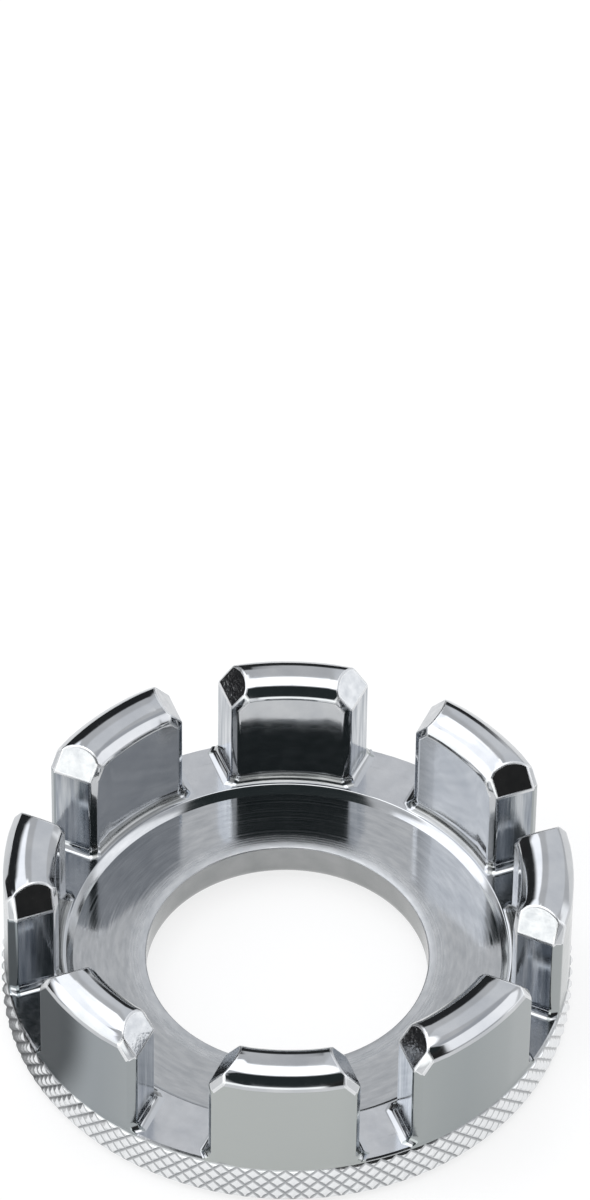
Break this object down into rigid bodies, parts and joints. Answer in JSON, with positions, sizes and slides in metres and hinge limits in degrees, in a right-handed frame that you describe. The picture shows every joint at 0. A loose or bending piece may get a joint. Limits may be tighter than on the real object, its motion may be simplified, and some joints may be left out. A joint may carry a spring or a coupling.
{
  "type": "spoke wrench",
  "caption": "Flat steel ring with a knurled rim and a crown of upright jaws; the gaps between the jaws grip spoke nipples of different sizes.",
  "frame": {"origin": "centre of the flat face, at the bottom of the part", "axes": "+Z along the ring's axis towards the crests of the jaws, +X through the middle of jaw_1, +Y through the middle of jaw_3"},
  "size_m": [0.036, 0.036, 0.0116],
  "materials": {
    "polished_chrome": "polished",
    "turned_chrome": "satin, with fine turning lines",
    "knurled_chrome": "bright, knurled"
  },
  "bodies": {
    "root": {"face_disc": "turned_chrome", "knurled_rim": "knurled_chrome", "jaw_seat": "turned_chrome", "jaw_1": "polished_chrome", "jaw_2": "polished_chrome", "jaw_3": "polished_chrome", "jaw_4": "polished_chrome", "jaw_5": "polished_chrome", "jaw_6": "polished_chrome", "jaw_7": "polished_chrome", "jaw_8": "polished_chrome"}
  },
  "joints": []
}
